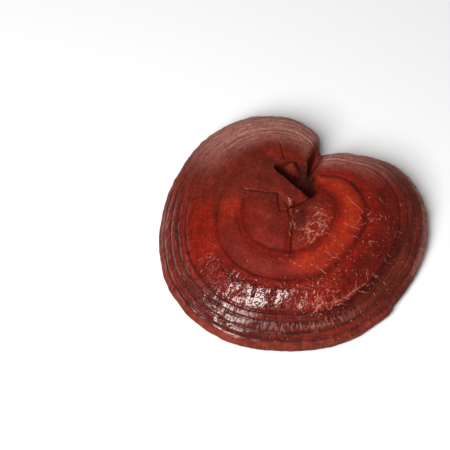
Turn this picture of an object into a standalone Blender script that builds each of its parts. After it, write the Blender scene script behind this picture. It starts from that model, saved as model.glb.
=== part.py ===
"""A reishi mushroom: one kidney-shaped varnished cap on a short stem that was cut off flat.

It lies as it does on a table, on the drooping front half of its rim and on the cut of its stem.
Units are metres, +Z is up, and the origin is on the table under the middle of the object.
The cap is a round growth section, spun about its hub and then moulded to the kidney outline.
"""

import math

import bmesh
import bpy
from mathutils import Matrix, Vector, noise

MM = 0.001

# Where the growth zones start, seen from above, in mm from the origin.
HUB_X = -3.99
HUB_Y = 2.24

# The rim's distance from the hub in mm, at directions in degrees from +X, counted towards +Y.
RIM_RADII = (
    (-172, 73.8),
    (-152, 76.6),
    (-122, 77.2),
    (-90, 74.8),
    (-60, 76.8),
    (-34, 76.4),
    (-8, 80.4),
    (9, 81.0),
    (20, 78.6),
    (32, 72.4),
    (44, 62.4),
    (53, 56.2),
    (59, 51.8),
    (65, 48.2),
    (71, 59.0),
    (77, 63.6),
    (84, 67.2),
    (94, 70.4),
    (110, 72.4),
    (133, 72.2),
    (156, 71.2),
)

# The cap's dome, from the middle of the hub down to the edge, in mm.
HUB_HEIGHT = 34.0
EDGE_HEIGHT = 5.0
DOME_POWER = 2.42
DOME_ROUNDNESS = 0.80

# The growth zones on the dome: share of the way from hub to rim, and height above the dome in mm.
# Inside are the hub's moat and the orange zone with its lip, outside the ridges of the rim.
GROWTH_ZONES = (
    (0.000, 0.0),
    (0.070, 0.0),
    (0.140, 0.0),
    (0.210, -0.2),
    (0.268, -0.8),
    (0.310, -1.5),
    (0.338, -1.9),
    (0.368, -0.8),
    (0.412, 0.2),
    (0.460, 0.5),
    (0.502, 0.1),
    (0.528, -0.5),
    (0.544, -1.8),
    (0.576, -0.8),
    (0.630, -0.1),
    (0.685, 0.0),
    (0.740, -0.1),
    (0.772, -0.3),
    (0.789, -1.0),
    (0.806, 0.2),
    (0.830, 0.4),
    (0.847, -0.5),
    (0.864, 0.4),
    (0.888, 0.5),
    (0.904, -0.4),
    (0.920, 0.6),
    (0.940, 0.9),
    (0.954, 0.0),
    (0.968, 0.8),
    (0.986, 0.9),
    (1.000, 0.0),
)

# On the small lobe at the back the inner zones fade and only the rim's ridges stay.
SMALL_LOBE_DIRECTION = 112.0
SMALL_LOBE_REACH = 62.0
INNER_ZONES_END = 0.74

# The pore surface from the edge back to the hub. Its lowest ring is what rests on the table.
PORE_SURFACE = (
    (0.990, 2.2),
    (0.966, 0.6),
    (0.928, 0.0),
    (0.870, 1.2),
    (0.760, 4.6),
    (0.620, 8.2),
    (0.490, 10.0),
    (0.250, 10.0),
    (0.000, 10.0),
)

# Only the upper skin is higher than this, in mm, so only it carries the relief below.
RELIEF_STARTS = 11.0

# Steps around the cap, gathered towards the notch, where the outline turns most.
AROUND = 108
NOTCH_DIRECTION = 64.0
GATHERING = 20.0

# The back of the cap is held up by the stem, while the front half droops to the table.
BACK_DIRECTION = 80.0
BACK_LIFT = 10.0
LIFT_STARTS_AT_SHARE = 0.50
LIFT_STARTS_AT_COSINE = -0.35

# The pit behind the hub, where the two lobes curl round the stem. Its middle is in mm from the hub.
# Its outline is a triangle with one straight side along the hub's plate.
PIT_X = 6.0
PIT_Y = 22.0
PIT_OUTLINE = (
    (-133, 5.9),
    (-105, 6.7),
    (-82, 9.4),
    (-66, 14.6),
    (-54, 15.0),
    (-20, 11.8),
    (22, 11.0),
    (50, 12.0),
    (85, 10.2),
    (122, 11.6),
    (145, 14.2),
    (158, 13.6),
    (178, 8.6),
    (202, 6.2),
)

# The pit from its floor up past the skin: share of the outline, and height in mm.
PIT_SECTION = (
    (0.00, 17.0),
    (0.50, 17.2),
    (0.80, 18.6),
    (0.93, 21.6),
    (1.00, 28.0),
    (1.06, 30.6),
    (1.18, 32.6),
    (1.50, 37.0),
    (0.00, 37.0),
)
PIT_AROUND = 40

# The crease that the two lobes leave between them, from the pit out to the notch in the rim.
CREASE_LINE = ((12.0, 26.0), (15.5, 34.0), (19.6, 44.0))
CREASE_HALF_WIDTH = 4.6
CREASE_DEPTH = 8.0

# The valley that parts the hub's plate from the sector on its right.
VALLEY_LINE = ((13.8, 7.0), (5.8, 2.0), (3.5, -6.8), (2.2, -15.0), (1.4, -25.5))
VALLEY_HALF_WIDTH = 5.0
VALLEY_DEPTH = 1.3

# Broad swells of the skin that came from uneven growth.
SWELL_HEIGHT = 0.9
SWELL_SIZE = 24.0
SWELL_SEED = Vector((3.1, 8.4, 1.7))
RIM_WAVE = 0.45
RIM_WAVES_AROUND = 5.0

# The stem, from its cut end to the cap. The middle of its cut is in mm from the hub.
STEM_X = 3.0
STEM_Y = 9.0
STEM_SECTION = (
    (0.0, 0.0),
    (9.2, 0.0),
    (9.7, 0.5),
    (9.6, 2.6),
    (9.9, 5.2),
    (10.8, 7.6),
    (12.3, 9.3),
    (12.5, 9.7),
    (0.0, 9.7),
)
STEM_AROUND = 40
STEM_FLATTENING = 0.88
STEM_RIBS = 7
STEM_RIB_HEIGHT = 0.030

CAP_COLOUR = (0.20, 0.022, 0.012, 1.0)
PORE_COLOUR = (0.52, 0.36, 0.22, 1.0)
STEM_COLOUR = (0.060, 0.016, 0.011, 1.0)


def smooth_step(low, high, value):
    """0 below low, 1 above high, and an even S between them."""
    share = min(1.0, max(0.0, (value - low) / (high - low)))
    return share * share * (3.0 - 2.0 * share)


def round_curve(points, angle):
    """The value at an angle, on a smooth closed curve through (angle, value) points, in degrees."""
    first = points[0][0]
    angle = first + (angle - first) % 360.0
    count = len(points)
    index = max(i for i in range(count) if points[i][0] <= angle)
    before, start, end, after = (
        (points[(index + k) % count][0] + 360.0 * ((index + k) // count), points[(index + k) % count][1])
        for k in (-1, 0, 1, 2)
    )
    span = end[0] - start[0]
    share = (angle - start[0]) / span
    slope_start = (end[1] - before[1]) / (end[0] - before[0]) * span
    slope_end = (after[1] - start[1]) / (after[0] - start[0]) * span
    return (
        start[1] * (2 * share**3 - 3 * share**2 + 1)
        + slope_start * (share**3 - 2 * share**2 + share)
        + end[1] * (3 * share**2 - 2 * share**3)
        + slope_end * (share**3 - share**2)
    )


def straight_curve(points, place):
    """The value at a place, on straight stretches through (place, value) points."""
    for (start, low), (end, high) in zip(points, points[1:]):
        if place <= end:
            return low + (high - low) * (place - start) / (end - start)
    return points[-1][1]


def distance_to_line(x, y, line):
    """How far a point of the plan is from a chain of straight stretches."""
    here = Vector((x, y))
    nearest = math.inf
    for start, end in zip(line, line[1:]):
        start = Vector(start)
        along = Vector(end) - start
        share = min(1.0, max(0.0, (here - start).dot(along) / along.length_squared))
        nearest = min(nearest, (here - start - along * share).length)
    return nearest


def rim_radius(angle):
    """Hub to rim at an angle in degrees, with the rim's own small waves, in mm."""
    around = math.radians(angle)
    place = Vector((math.cos(around), math.sin(around), 0.0)) * RIM_WAVES_AROUND
    return round_curve(RIM_RADII, angle) + RIM_WAVE * noise.noise(place)


def dome_height(zone):
    """Height in mm of the smooth dome, at a share of the way from hub to rim."""
    return EDGE_HEIGHT + (HUB_HEIGHT - EDGE_HEIGHT) * (1.0 - zone**DOME_POWER) ** DOME_ROUNDNESS


def back_lift(zone, angle):
    """How much higher the cap is at its back than the drooping front, in mm."""
    cosine = math.cos(math.radians(angle - BACK_DIRECTION))
    turned_back = smooth_step(LIFT_STARTS_AT_COSINE, 0.95, cosine)
    return BACK_LIFT * turned_back * smooth_step(LIFT_STARTS_AT_SHARE, 1.05, zone)


def missing_zone(zone, angle):
    """The growth zone's height in mm where it fades, on the small lobe."""
    if zone > INNER_ZONES_END:
        return 0.0
    off_lobe = abs((angle - SMALL_LOBE_DIRECTION + 180.0) % 360.0 - 180.0)
    fade = 1.0 - smooth_step(0.4 * SMALL_LOBE_REACH, SMALL_LOBE_REACH, off_lobe)
    return straight_curve(GROWTH_ZONES, zone) * fade


def skin_relief(x, y, zone, angle):
    """Height in mm that the crease, the valley, the swells and the fading zones add to the upper skin."""
    crease = 1.0 - smooth_step(0.0, CREASE_HALF_WIDTH, distance_to_line(x, y, CREASE_LINE))
    valley = 1.0 - smooth_step(0.0, VALLEY_HALF_WIDTH, distance_to_line(x, y, VALLEY_LINE))
    swell = noise.noise(Vector((x, y, 0.0)) / SWELL_SIZE + SWELL_SEED)
    inside_rim = 1.0 - smooth_step(0.80, 0.93, zone)
    hollow = max(CREASE_DEPTH * crease * inside_rim, VALLEY_DEPTH * valley)
    return SWELL_HEIGHT * swell * inside_rim - hollow - missing_zone(zone, angle)


def spin_section(section, steps):
    """A closed round mesh, in mm, turned from (radius, height) points that start and end on the axis."""
    mesh = bmesh.new()
    points = [mesh.verts.new((radius, 0.0, height)) for radius, height in section]
    edges = [mesh.edges.new(pair) for pair in zip(points, points[1:])]
    bmesh.ops.spin(
        mesh,
        geom=points + edges,
        axis=(0.0, 0.0, 1.0),
        angle=math.tau,
        steps=steps,
        use_merge=True,
    )
    bmesh.ops.remove_doubles(mesh, verts=mesh.verts, dist=1e-4)
    bmesh.ops.recalc_face_normals(mesh, faces=mesh.faces)
    return mesh


def material(name, colour, roughness):
    """A plain finish with one colour."""
    made = bpy.data.materials.new(name)
    made.use_nodes = True
    shader = made.node_tree.nodes["Principled BSDF"]
    shader.inputs["Base Color"].default_value = colour
    shader.inputs["Roughness"].default_value = roughness
    shader.inputs["Metallic"].default_value = 0.0
    return made


def finish_object(name, mesh, x, y, *materials):
    """Turns a bmesh in mm into an object in metres, shaded smooth, with its own place in its location."""
    bmesh.ops.transform(mesh, matrix=Matrix.Scale(MM, 4), verts=mesh.verts)
    data = bpy.data.meshes.new(name)
    mesh.to_mesh(data)
    mesh.free()
    data.shade_smooth()
    data.set_sharp_from_angle(angle=math.radians(50.0))
    for each in materials:
        data.materials.append(each)
    made = bpy.data.objects.new(name, data)
    made.location = (x * MM, y * MM, 0.0)
    bpy.context.scene.collection.objects.link(made)
    return made


def polar(vert):
    """A vertex's distance from the axis, and its direction in degrees."""
    return math.hypot(vert.co.x, vert.co.y), math.degrees(math.atan2(vert.co.y, vert.co.x))


def make_pit_cutter():
    """The hollow that the lobes leave round the stem, as a solid that the cap is cut with."""
    mesh = spin_section(PIT_SECTION, PIT_AROUND)
    for vert in mesh.verts:
        share, angle = polar(vert)
        radius = share * round_curve(PIT_OUTLINE, angle)
        vert.co.x = radius * math.cos(math.radians(angle))
        vert.co.y = radius * math.sin(math.radians(angle))
    varnish = bpy.data.materials["varnish"]
    cutter = finish_object("pit_cutter", mesh, HUB_X + PIT_X, HUB_Y + PIT_Y, varnish)
    cutter.display_type = "WIRE"
    cutter.hide_render = True
    return cutter


def make_cap():
    """The varnished cap: a spun growth section, drawn out to the kidney outline, with its relief and pit."""
    upper_skin = tuple((zone, dome_height(zone) + relief) for zone, relief in GROWTH_ZONES)
    mesh = spin_section(upper_skin + PORE_SURFACE, AROUND)
    for vert in mesh.verts:
        zone, angle = polar(vert)
        height = vert.co.z
        angle -= GATHERING * math.sin(math.radians(angle - NOTCH_DIRECTION))
        radius = zone * rim_radius(angle)
        x = radius * math.cos(math.radians(angle))
        y = radius * math.sin(math.radians(angle))
        lifted = height + back_lift(zone, angle)
        if height > RELIEF_STARTS:
            lifted += skin_relief(x, y, zone, angle)
        vert.co = (x, y, lifted)
    mesh.normal_update()
    for face in mesh.faces:
        if face.normal.z < 0.0 and face.calc_center_median().z < RELIEF_STARTS:
            face.material_index = 1
    varnish = material("varnish", CAP_COLOUR, 0.35)
    pores = material("pores", PORE_COLOUR, 0.85)
    cap = finish_object("cap", mesh, HUB_X, HUB_Y, varnish, pores)
    pit = cap.modifiers.new("pit", "BOOLEAN")
    pit.operation = "DIFFERENCE"
    pit.solver = "EXACT"
    pit.object = make_pit_cutter()
    return cap


def make_stem():
    """The stub of the stem: cut flat below, flaring to the cap above, oval and faintly ribbed."""
    mesh = spin_section(STEM_SECTION, STEM_AROUND)
    for vert in mesh.verts:
        angle = math.atan2(vert.co.y, vert.co.x)
        swell = 1.0 + STEM_RIB_HEIGHT * math.sin(STEM_RIBS * angle)
        vert.co.x *= swell
        vert.co.y *= swell * STEM_FLATTENING
    bark = material("stem bark", STEM_COLOUR, 0.45)
    return finish_object("stem", mesh, HUB_X + STEM_X, HUB_Y + STEM_Y, bark)


def main():
    """Clears the scene and builds the mushroom."""
    for old in list(bpy.data.objects):
        bpy.data.objects.remove(old)
    make_cap()
    make_stem()


main()
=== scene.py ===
"""Looks of a dried reishi mushroom, built around the frame of its solids.

The cap is one growth section, spun about its hub, drawn out to the kidney outline and then raised in ridges,
wrinkles, a pit and a crease. Lengths are in millimetres from the hub until a mesh is finished, in metres.
"""

import logging
import math
import random
from dataclasses import dataclass
from enum import Enum

import bmesh
import bpy
from mathutils import Matrix, Quaternion, Vector, noise


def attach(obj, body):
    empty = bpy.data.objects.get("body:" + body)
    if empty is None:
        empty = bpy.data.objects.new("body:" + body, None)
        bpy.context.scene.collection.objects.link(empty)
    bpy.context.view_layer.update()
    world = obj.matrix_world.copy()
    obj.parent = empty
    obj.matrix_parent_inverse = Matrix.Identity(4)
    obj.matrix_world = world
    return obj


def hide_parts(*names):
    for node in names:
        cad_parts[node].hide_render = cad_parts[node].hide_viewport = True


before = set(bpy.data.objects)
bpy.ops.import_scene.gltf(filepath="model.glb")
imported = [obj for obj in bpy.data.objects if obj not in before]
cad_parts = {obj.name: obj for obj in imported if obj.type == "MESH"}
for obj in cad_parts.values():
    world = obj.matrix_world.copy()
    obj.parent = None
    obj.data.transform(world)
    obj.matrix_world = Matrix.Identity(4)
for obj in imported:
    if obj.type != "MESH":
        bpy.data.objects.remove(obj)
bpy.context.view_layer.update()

LOG = logging.getLogger("reishi")
MM = 0.001

Point = tuple[float, float]
Points = tuple[Point, ...]
Colour = tuple[float, float, float]


def smooth_step(low: float, high: float, value: float) -> float:
    """0 below low, 1 above high, and an even S between them."""
    share = min(1.0, max(0.0, (value - low) / (high - low)))
    return share * share * (3.0 - 2.0 * share)


def curve_between(before: Point, start: Point, end: Point, after: Point, place: float) -> float:
    """The value at a place between start and end, on a smooth curve through four (place, value) points.

    Args:
        before: the point ahead of the stretch.
        start: the stretch's first point.
        end: the stretch's last point.
        after: the point behind the stretch.
        place: where the value is wanted.

    Returns:
        The value there.
    """
    span = end[0] - start[0]
    share = (place - start[0]) / span
    slope_start = (end[1] - before[1]) / (end[0] - before[0]) * span
    slope_end = (after[1] - start[1]) / (after[0] - start[0]) * span
    return (
        start[1] * (2 * share**3 - 3 * share**2 + 1)
        + slope_start * (share**3 - 2 * share**2 + share)
        + end[1] * (3 * share**2 - 2 * share**3)
        + slope_end * (share**3 - share**2)
    )


def round_curve(points: Points, angle: float) -> float:
    """The value at an angle, on a smooth closed curve through (angle in degrees, value) points in order."""
    first = points[0][0]
    angle = first + (angle - first) % 360.0
    index = max(i for i, point in enumerate(points) if point[0] <= angle)
    four = []
    for k in range(index - 1, index + 3):
        turns, place = divmod(k, len(points))
        four.append((points[place][0] + 360.0 * turns, points[place][1]))
    return curve_between(*four, angle)


def open_curve(points: Points, place: float) -> float:
    """The value at a place, on a smooth open curve through (place, value) points in rising order."""
    count = len(points)
    index = 0
    while index < count - 2 and points[index + 1][0] < place:
        index += 1
    start, end = points[index], points[index + 1]
    before = points[index - 1] if index else (2 * start[0] - end[0], start[1])
    after = points[index + 2] if index + 2 < count else (2 * end[0] - start[0], end[1])
    return curve_between(before, start, end, after, place)


def toward(angle: float, direction: float) -> float:
    """Cosine of the angle between two directions in degrees."""
    return math.cos(math.radians(angle - direction))


def way_to_stretch(x: float, y: float, start: Point, end: Point) -> Point:
    """The way from a place to the nearest point of a straight stretch."""
    dx, dy = end[0] - start[0], end[1] - start[1]
    share = ((x - start[0]) * dx + (y - start[1]) * dy) / (dx * dx + dy * dy)
    share = min(1.0, max(0.0, share))
    return start[0] + share * dx - x, start[1] + share * dy - y


def distance_to_line(x: float, y: float, line: Points) -> float:
    """How far a place is from a chain of straight stretches."""
    return min(math.hypot(*way_to_stretch(x, y, start, end)) for start, end in zip(line, line[1:]))


def uneven(x: float, y: float, z: float, size: float, seed: float) -> float:
    """Smooth random height between about -1 and 1, with lumps of the given size."""
    return noise.noise(Vector((x / size + seed, y / size - seed, z / size + 0.37 * seed)))


class LineMap:
    """Finds the nearest of many lines, for marks that are cut or drawn along them."""

    CELL = 4.0
    NONE_NEAR = (9.0, 9.0, 9.0)

    def __init__(self, lines: tuple[Points, ...]) -> None:
        """Sorts the lines' stretches, in millimetres, into square cells of the plan."""
        self.cells: dict[tuple[int, int], list[tuple[Point, Point]]] = {}
        for line in lines:
            for start, end in zip(line, line[1:]):
                for i in self.reached(start[0], end[0]):
                    for j in self.reached(start[1], end[1]):
                        self.cells.setdefault((i, j), []).append((start, end))

    def reached(self, first: float, second: float) -> range:
        """The rows of cells that a stretch between two coordinates can matter to."""
        low, high = min(first, second) - self.CELL, max(first, second) + self.CELL
        return range(math.floor(low / self.CELL), math.floor(high / self.CELL) + 1)

    def offset(self, x: float, y: float) -> tuple[float, float, float]:
        """The way from a place to the nearest line, along each coordinate, and its length."""
        best = self.NONE_NEAR
        for start, end in self.cells.get((math.floor(x / self.CELL), math.floor(y / self.CELL)), ()):
            way = way_to_stretch(x, y, start, end)
            distance = math.hypot(*way)
            if distance < best[2]:
                best = (*way, distance)
        return best


class Side(Enum):
    """The two skins of the cap's section."""

    UPPER = 0
    PORES = 1


@dataclass(frozen=True)
class CapForm:
    """The cap's main form, with the solid's values, and how the rim's grooves are sharpened."""

    hub_x: float = -3.99
    hub_y: float = 2.24
    rim_radii: Points = (
        (-172, 73.8), (-152, 76.6), (-122, 77.2), (-90, 74.8), (-60, 76.8), (-34, 76.4), (-8, 80.4),
        (9, 81.0), (20, 78.6), (32, 72.4), (44, 62.4), (53, 56.2), (59, 51.8), (65, 48.2), (71, 59.0),
        (77, 63.6), (84, 67.2), (94, 70.4), (110, 72.4), (133, 72.2), (156, 71.2),
    )
    hub_height: float = 34.0
    edge_height: float = 5.0
    dome_power: float = 2.42
    dome_roundness: float = 0.8
    growth_zones: Points = (
        (0.0, 0.0), (0.07, 0.0), (0.14, 0.0), (0.21, -0.2), (0.268, -0.8), (0.31, -1.5), (0.338, -1.9),
        (0.368, -0.8), (0.412, 0.2), (0.46, 0.5), (0.502, 0.1), (0.528, -0.5), (0.544, -1.8), (0.576, -0.8),
        (0.63, -0.1), (0.685, 0.0), (0.74, -0.1), (0.77, -0.1), (0.78, -0.4), (0.789, -1.1), (0.798, -0.3),
        (0.808, 0.2), (0.83, 0.3), (0.839, 0.0), (0.847, -0.7), (0.856, 0.0), (0.866, 0.3), (0.888, 0.4),
        (0.896, 0.1), (0.904, -0.6), (0.912, 0.2), (0.922, 0.6), (0.94, 0.8), (0.947, 0.4), (0.954, -0.2),
        (0.961, 0.4), (0.97, 0.8), (0.986, 0.9), (1.0, 0.0),
    )
    pore_surface: Points = (
        (0.99, 2.2), (0.966, 0.6), (0.928, 0.0), (0.87, 1.2), (0.76, 4.6), (0.62, 8.2), (0.49, 10.0),
        (0.25, 10.0), (0.0, 10.0),
    )
    notch_direction: float = 64.0
    gathering: float = 12.0
    back_direction: float = 80.0
    back_lift: float = 10.0
    lift_starts_at_share: float = 0.5
    lift_starts_at_cosine: float = -0.35
    small_lobe_direction: float = 112.0
    small_lobe_reach: float = 62.0
    inner_zones_end: float = 0.74
    pit_x: float = 6.0
    pit_y: float = 22.0
    pit_outline: Points = (
        (-133, 5.9), (-105, 6.7), (-82, 9.4), (-66, 14.6), (-54, 15.0), (-20, 11.8), (22, 11.0), (50, 12.0),
        (85, 10.2), (122, 11.6), (145, 14.2), (158, 13.6), (178, 8.6), (202, 6.2),
    )
    crease_line: Points = ((12.0, 26.0), (15.5, 34.0), (19.6, 44.0))
    crease_half_width: float = 3.7
    crease_depth: float = 8.5
    valley_line: Points = ((13.8, 7.0), (5.8, 2.0), (3.5, -6.8), (2.2, -15.0), (1.4, -25.5))
    valley_half_width: float = 5.0
    valley_depth: float = 1.3
    rim_crest: float = 0.3
    rim_crest_rise: float = 3.0
    rim_groove_depth: float = 1.5
    rim_groove_sharpness: float = 1.6

    def rim_radius(self, angle: float) -> float:
        """Hub to rim at an angle in degrees, with the rim's own small waves."""
        around = math.radians(angle)
        place = Vector((math.cos(around), math.sin(around), 0.0)) * 5.0
        return round_curve(self.rim_radii, angle) + 0.45 * noise.noise(place)

    def dome_height(self, zone: float) -> float:
        """Height of the smooth dome, at a share of the way from hub to rim."""
        fall = max(0.0, 1.0 - zone**self.dome_power) ** self.dome_roundness
        return self.edge_height + (self.hub_height - self.edge_height) * fall

    def lift(self, zone: float, angle: float) -> float:
        """How much higher the cap is at its back than the drooping front."""
        turned_back = smooth_step(self.lift_starts_at_cosine, 0.95, toward(angle, self.back_direction))
        return self.back_lift * turned_back * smooth_step(self.lift_starts_at_share, 1.05, zone)

    def on_small_lobe(self, angle: float) -> float:
        """1 on the small lobe at the back, 0 off it."""
        off_lobe = abs((angle - self.small_lobe_direction + 180.0) % 360.0 - 180.0)
        return 1.0 - smooth_step(0.4 * self.small_lobe_reach, self.small_lobe_reach, off_lobe)

    def zone_relief(self, zone: float, angle: float) -> float:
        """Height of the growth zones above the dome.

        They are soft on the right and, at the rim, everywhere but at the front right. The small lobe has only
        those at the rim. The groove outside the orange ring fades at the back, and the rim's are sharpened.

        Args:
            zone: share of the way from hub to rim.
            angle: direction from the hub in degrees.

        Returns:
            The height in millimetres, below 0 in the grooves.
        """
        relief = open_curve(self.growth_zones, zone)
        if 0.5 < zone < 0.6:
            relief *= 1.0 - 0.8 * smooth_step(0.72, 0.93, toward(angle, 72.0))
        crest = self.rim_crest + self.rim_crest_rise * (zone - 0.81)
        if zone > 0.8 and relief < crest:
            share = (crest - relief) / self.rim_groove_depth
            relief = crest - self.rim_groove_depth * share**self.rim_groove_sharpness
        right = smooth_step(0.3, 1.0, toward(angle, -15.0))
        back = smooth_step(0.1, 0.8, toward(angle, 75.0))
        front_right = smooth_step(0.65, 0.97, toward(angle, -52.0))
        softened = 0.5 * right + (0.45 - 0.55 * right + 0.12 * back) * smooth_step(0.74, 0.8, zone)
        softened -= 0.35 * front_right * smooth_step(0.78, 0.81, zone)
        faded = self.on_small_lobe(angle) * (1.0 - smooth_step(0.7, self.inner_zones_end, zone))
        return relief * (1.0 - softened) * (1.0 - faded)


@dataclass(frozen=True)
class SkinDetail:
    """The fine forms of the skin: how high they are, in millimetres, and where they lie from the hub."""

    zone_wander: float = 0.003
    swell: float = 0.9
    lumps: float = 0.32
    knobs: float = 0.24
    wrinkles: float = 0.16
    rim_crumple: float = 0.14
    edge_scallop: float = 0.35
    rim_step: float = 1.3
    rim_step_direction: float = -40.0
    sector_hill: float = 2.1
    sector_hill_middle: Point = (19.0, -3.5)
    sector_hill_reach: float = 18.0
    plate_rise: float = 0.7
    plate: Points = ((-21.0, 13.0), (-12.0, 9.6), (-5.2, 9.2), (-4.6, -2.0), (-10.0, -5.6), (-21.0, 0.0))
    tongue: Points = ((-6.0, 23.0), (12.6, 7.4), (3.0, 1.5), (-4.5, 9.0))
    nodules: Points = ((0.7, 4.7), (2.3, 2.0), (2.1, -2.2))
    nodule_rise: float = 1.3
    cracks: tuple[Points, ...] = (
        ((-23.4, 12.2), (-20.0, 11.9), (-16.0, 10.8), (-11.8, 9.4), (-5.5, 9.2), (-5.1, 3.4), (-4.6, -2.0),
         (-1.4, -2.0)),
        ((-1.7, 2.9), (0.1, -0.3), (-0.2, -2.5), (0.9, -4.8), (3.6, -6.8)),
        ((0.1, -0.3), (3.0, 0.3), (5.8, 2.0), (9.8, 4.6), (13.8, 7.1)),
        ((3.6, -6.8), (2.8, -10.7), (2.3, -14.9), (1.7, -19.0), (1.4, -25.5)),
        ((-17.9, -42.6), (-18.6, -45.4), (-19.4, -47.6), (-20.4, -50.0)),
        ((-3.7, 45.0), (-2.5, 41.0), (-1.7, 34.5)),
    )
    # Pale scratches, and painted highlights drawn as short strokes, most on the hub's sector and at the front
    # right.
    scratches_and_glints: tuple[Points, ...] = (
        ((23.3, -53.2), (27.2, -51.9), (30.0, -50.7), (32.8, -48.3), (35.7, -46.4), (38.5, -44.0),
         (40.3, -42.7)),
        ((41.4, -42.0), (43.1, -40.6)), ((35.1, -46.0), (37.4, -43.1), (37.4, -40.5)),
        ((26.1, -47.5), (27.8, -46.4)), ((24.4, -52.1), (25.5, -50.6), (24.4, -49.7)),
        ((20.5, -54.8), (21.6, -56.2), (23.3, -56.1), (23.8, -54.1)),
        ((14.9, -52.7), (16.0, -50.2), (15.5, -48.2)), ((12.2, -60.0), (14.4, -57.5), (15.5, -55.6)),
        ((18.3, -52.1), (19.4, -54.4)), ((32.3, -50.4), (33.4, -49.8)), ((26.6, -53.9), (28.9, -52.7)),
        ((35.2, -35.5), (35.8, -34.9)), ((30.0, -50.7), (29.4, -48.2)), ((20.0, -61.9), (20.5, -60.1)),
        ((34.1, 8.0), (36.8, 4.4), (39.6, 2.2), (42.3, -0.6)), ((31.3, -8.7), (34.1, -9.6), (36.0, -10.6)),
        ((36.9, -10.5), (40.3, -11.2)), ((38.7, -7.3), (40.5, -5.2)), ((40.0, -3.1), (41.1, -4.5)),
        ((40.9, -8.8), (43.8, -6.6)), ((45.2, -2.1), (47.0, 0.1)), ((45.4, -3.9), (45.9, -4.4)),
        ((33.9, -16.1), (34.5, -16.1)), ((35.6, -15.9), (37.9, -15.7), (39.6, -16.6)),
        ((41.8, -17.5), (41.8, -19.2)), ((45.3, -17.5), (48.1, -17.6)),
        ((49.7, -3.9), (52.0, -4.1), (52.0, -2.9)), ((45.9, 9.2), (46.5, 10.0)), ((52.0, 9.7), (53.6, 7.4)),
        ((36.9, -9.6), (38.1, -8.5)), ((56.5, 7.2), (57.1, 6.6)), ((64.2, 7.7), (65.3, 7.3)),
        ((38.6, -61.3), (39.8, -61.1)), ((51.3, -38.0), (51.9, -37.4)), ((46.7, -35.8), (49.0, -37.0)),
        ((47.2, -34.7), (50.1, -36.2)),
        ((20.0, -26.0), (22.4, -27.5), (24.0, -29.4), (27.1, -28.9), (28.9, -29.9)),
        ((15.4, -35.4), (17.6, -36.0), (20.3, -37.8)), ((15.6, -5.1), (17.9, -3.6)),
        ((12.3, -11.1), (15.0, -9.3)), ((9.1, -15.9), (14.9, -14.3)), ((9.4, -21.8), (11.7, -19.2)),
        ((12.1, -20.8), (15.1, -18.8)), ((17.6, -16.1), (21.2, -11.3)), ((2.2, -6.3), (3.1, -10.7)),
        ((1.1, -8.8), (1.4, -12.0)), ((0.4, -14.5), (1.0, -16.5)), ((-0.6, 5.8), (1.4, 4.2), (1.9, 2.2)),
        ((0.5, 3.0), (2.2, 4.9)), ((4.0, -2.6), (6.3, -1.2)), ((-24.2, 13.4), (-22.8, 12.6)),
        ((13.3, -55.2), (14.9, -52.2), (16.6, -50.7), (18.3, -52.1), (18.8, -54.5)),
        ((14.9, -58.0), (16.6, -56.0), (18.3, -53.5)), ((12.2, -59.0), (14.9, -57.1), (17.1, -54.1)),
        ((12.7, -54.2), (14.4, -56.1)), ((3.9, -53.9), (5.0, -55.8)),
        ((6.1, -53.4), (5.5, -55.3), (7.2, -55.8)), ((7.7, -52.4), (8.3, -54.8)),
        ((-1.5, -28.8), (-0.4, -27.6)), ((1.8, -32.7), (4.0, -33.7)),
        ((13.7, -6.7), (15.6, -4.3), (17.5, -3.3), (19.4, -4.6), (19.7, -5.7)), ((15.6, -5.6), (17.3, -4.7)),
        ((20.8, -5.0), (22.7, -6.5)), ((12.1, -11.2), (13.8, -9.9), (15.5, -8.9)),
        ((17.0, -7.4), (18.9, -8.9), (19.6, -7.7)), ((16.2, -9.5), (17.3, -11.0), (18.0, -13.4)),
        ((17.7, -9.8), (18.8, -10.9), (20.3, -10.1)), ((18.8, -11.8), (19.5, -10.5), (20.7, -9.3)),
        ((19.1, -14.5), (20.3, -12.1), (21.5, -10.4)), ((21.8, -11.4), (22.3, -12.8)),
        ((17.7, -16.2), (18.7, -15.4), (19.3, -15.9)), ((18.1, -15.6), (19.0, -16.4)),
        ((9.1, -15.3), (10.9, -14.7), (13.1, -14.0), (14.8, -14.6)), ((10.1, -17.7), (11.6, -16.5)),
        ((9.3, -21.8), (10.4, -21.0), (11.2, -19.6)), ((12.3, -20.8), (13.4, -19.8), (14.7, -18.9)),
        ((12.7, -21.0), (13.9, -20.0)), ((21.0, -14.8), (22.8, -15.9)), ((24.7, -17.1), (25.8, -17.4)),
        ((25.0, -19.3), (26.5, -19.3)), ((1.6, -6.3), (3.2, -7.8), (2.1, -10.0)), ((3.8, -9.3), (3.4, -13.0)),
        ((0.1, 5.1), (0.6, 2.5), (1.1, 1.3)), ((1.2, 4.5), (2.3, 3.2)), ((1.6, -1.9), (3.3, -0.6)),
    )
    hair_count: int = 85
    hair_seed: int = 5
    crack_depth: float = 0.7
    crack_half_width: float = 0.8
    plate_edge: Points = ((-7.5, 25.0), (14.6, 8.2))
    plate_height: float = 33.0
    lump_in_pit: Point = (2.8, 29.7)
    lump_in_pit_radius: float = 6.0
    lump_in_pit_top: float = 29.6
    lump_in_pit_fall: float = 9.0
    pit_easing: float = 1.6
    steep_wall: Points = (
        (0.0, 17.0), (0.5, 17.2), (0.8, 18.6), (0.93, 21.6), (1.0, 28.0), (1.06, 30.6), (1.18, 32.6),
        (1.5, 38.0), (2.2, 60.0),
    )
    gentle_wall: Points = (
        (0.0, 17.0), (0.5, 17.6), (0.8, 21.0), (0.93, 24.6), (1.0, 27.0), (1.15, 30.2), (1.35, 32.4),
        (1.7, 35.5), (2.2, 45.0),
    )


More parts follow.
